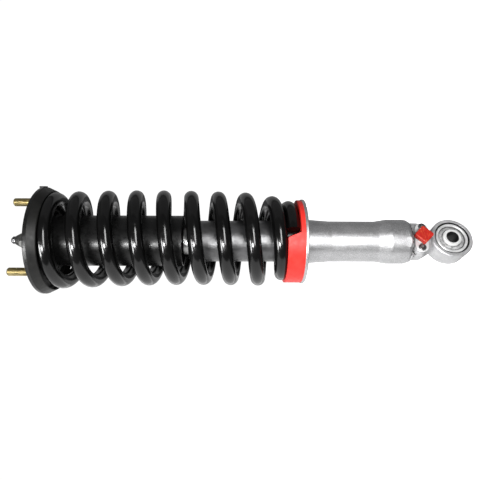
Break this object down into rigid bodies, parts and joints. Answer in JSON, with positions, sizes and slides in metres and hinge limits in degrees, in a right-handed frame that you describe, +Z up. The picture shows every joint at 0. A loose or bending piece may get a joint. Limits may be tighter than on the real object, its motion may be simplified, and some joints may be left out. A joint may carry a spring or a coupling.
{
  "type": "suspension strut assembly",
  "caption": "Preloaded adjustable coil-over strut: black coil spring over a silver damper tube, studded top mount, bushed lower eye and a red damping knob.",
  "frame": {"origin": "centre of the lower eye's bolt bore", "axes": "+Z up the damper axis from the lower eye to the top mount, Y along the lower eye's bolt bore, -Y on the damping adjuster's side"},
  "size_m": [0.132, 0.132, 0.5692],
  "materials": {
    "silver_paint": "satin",
    "cast_silver": "satin",
    "zinc_alloy": "satin",
    "bright_steel": "satin",
    "chromed_rod": "polished",
    "sintered_steel": "matte",
    "bronze": "satin",
    "gloss_black": "gloss",
    "black_paint": "satin",
    "black_rubber": "matte",
    "coated_rubber": "matte",
    "red_rubber": "satin",
    "red_plastic": "gloss",
    "black_plastic": "matte",
    "foam_yellow": "matte",
    "yellow_zinc": "satin"
  },
  "bodies": {
    "damper_body": {"foot_casting": "cast_silver", "eye_outer_sleeve": "cast_silver", "eye_rubber": "coated_rubber", "reserve_tube": "silver_paint", "lower_spring_seat": "silver_paint", "lower_isolator": "red_rubber", "coil_spring": "gloss_black", "adjuster_gasket": "black_rubber", "adjuster_flange": "zinc_alloy", "adjuster_o_ring": "black_rubber", "adjuster_screws": "bright_steel", "detent_plunger": "bright_steel", "base_valve_body": "sintered_steel", "base_valve_shims": "bright_steel", "base_check_plate": "bright_steel", "base_valve_rivet": "bright_steel", "pressure_tube": "bright_steel", "bypass_tube": "bright_steel", "rod_guide": "sintered_steel", "rod_guide_bushing": "bronze", "rod_seal": "black_rubber", "seal_washer": "bright_steel", "striker_cap": "bright_steel"},
    "rod_assembly": {"piston_rod": "chromed_rod", "piston": "sintered_steel", "piston_band": "black_plastic", "compression_shims": "bright_steel", "rebound_shims": "bright_steel", "piston_nut": "bright_steel", "rebound_clip": "bright_steel", "rebound_stop": "black_plastic", "bump_stop": "foam_yellow", "bump_cup": "black_paint", "dust_tube": "gloss_black", "rod_washer_lower": "bright_steel", "mount_core_sleeve": "bright_steel", "rod_washer_upper": "bright_steel", "top_nut": "bright_steel"},
    "upper_mount": {"upper_isolator": "black_rubber", "top_plate": "black_paint", "mount_studs": "yellow_zinc", "mount_rubber": "black_rubber"},
    "adjuster": {"adjuster_knob": "red_plastic", "adjuster_spindle": "bright_steel"},
    "eye_core": {"eye_inner_sleeve": "bright_steel"}
  },
  "joints": [
    {"name": "damper_stroke", "type": "slide", "parent": "damper_body", "child": "rod_assembly", "axis": [0, 0, -1], "range_m": [0, 0.11], "stiffness_N_per_m": 60000, "springref_m": -0.05, "deforming": ["coil_spring"]},
    {"name": "mount_rock", "type": "hinge", "parent": "rod_assembly", "child": "upper_mount", "pos_m": [0, 0, 0.51], "axis": [0, 1, 0], "range_deg": [-3, 3], "stiffness_Nm_per_rad": 400, "deforming": ["mount_rubber"]},
    {"name": "adjuster_turn", "type": "hinge", "parent": "damper_body", "child": "adjuster", "pos_m": [0, 0, 0.0374], "axis": [0, -1, 0], "range_deg": [-150, 150]},
    {"name": "eye_twist", "type": "hinge", "parent": "damper_body", "child": "eye_core", "pos_m": [0, 0, 0], "axis": [0, 1, 0], "range_deg": [-15, 15], "stiffness_Nm_per_rad": 4}
  ]
}
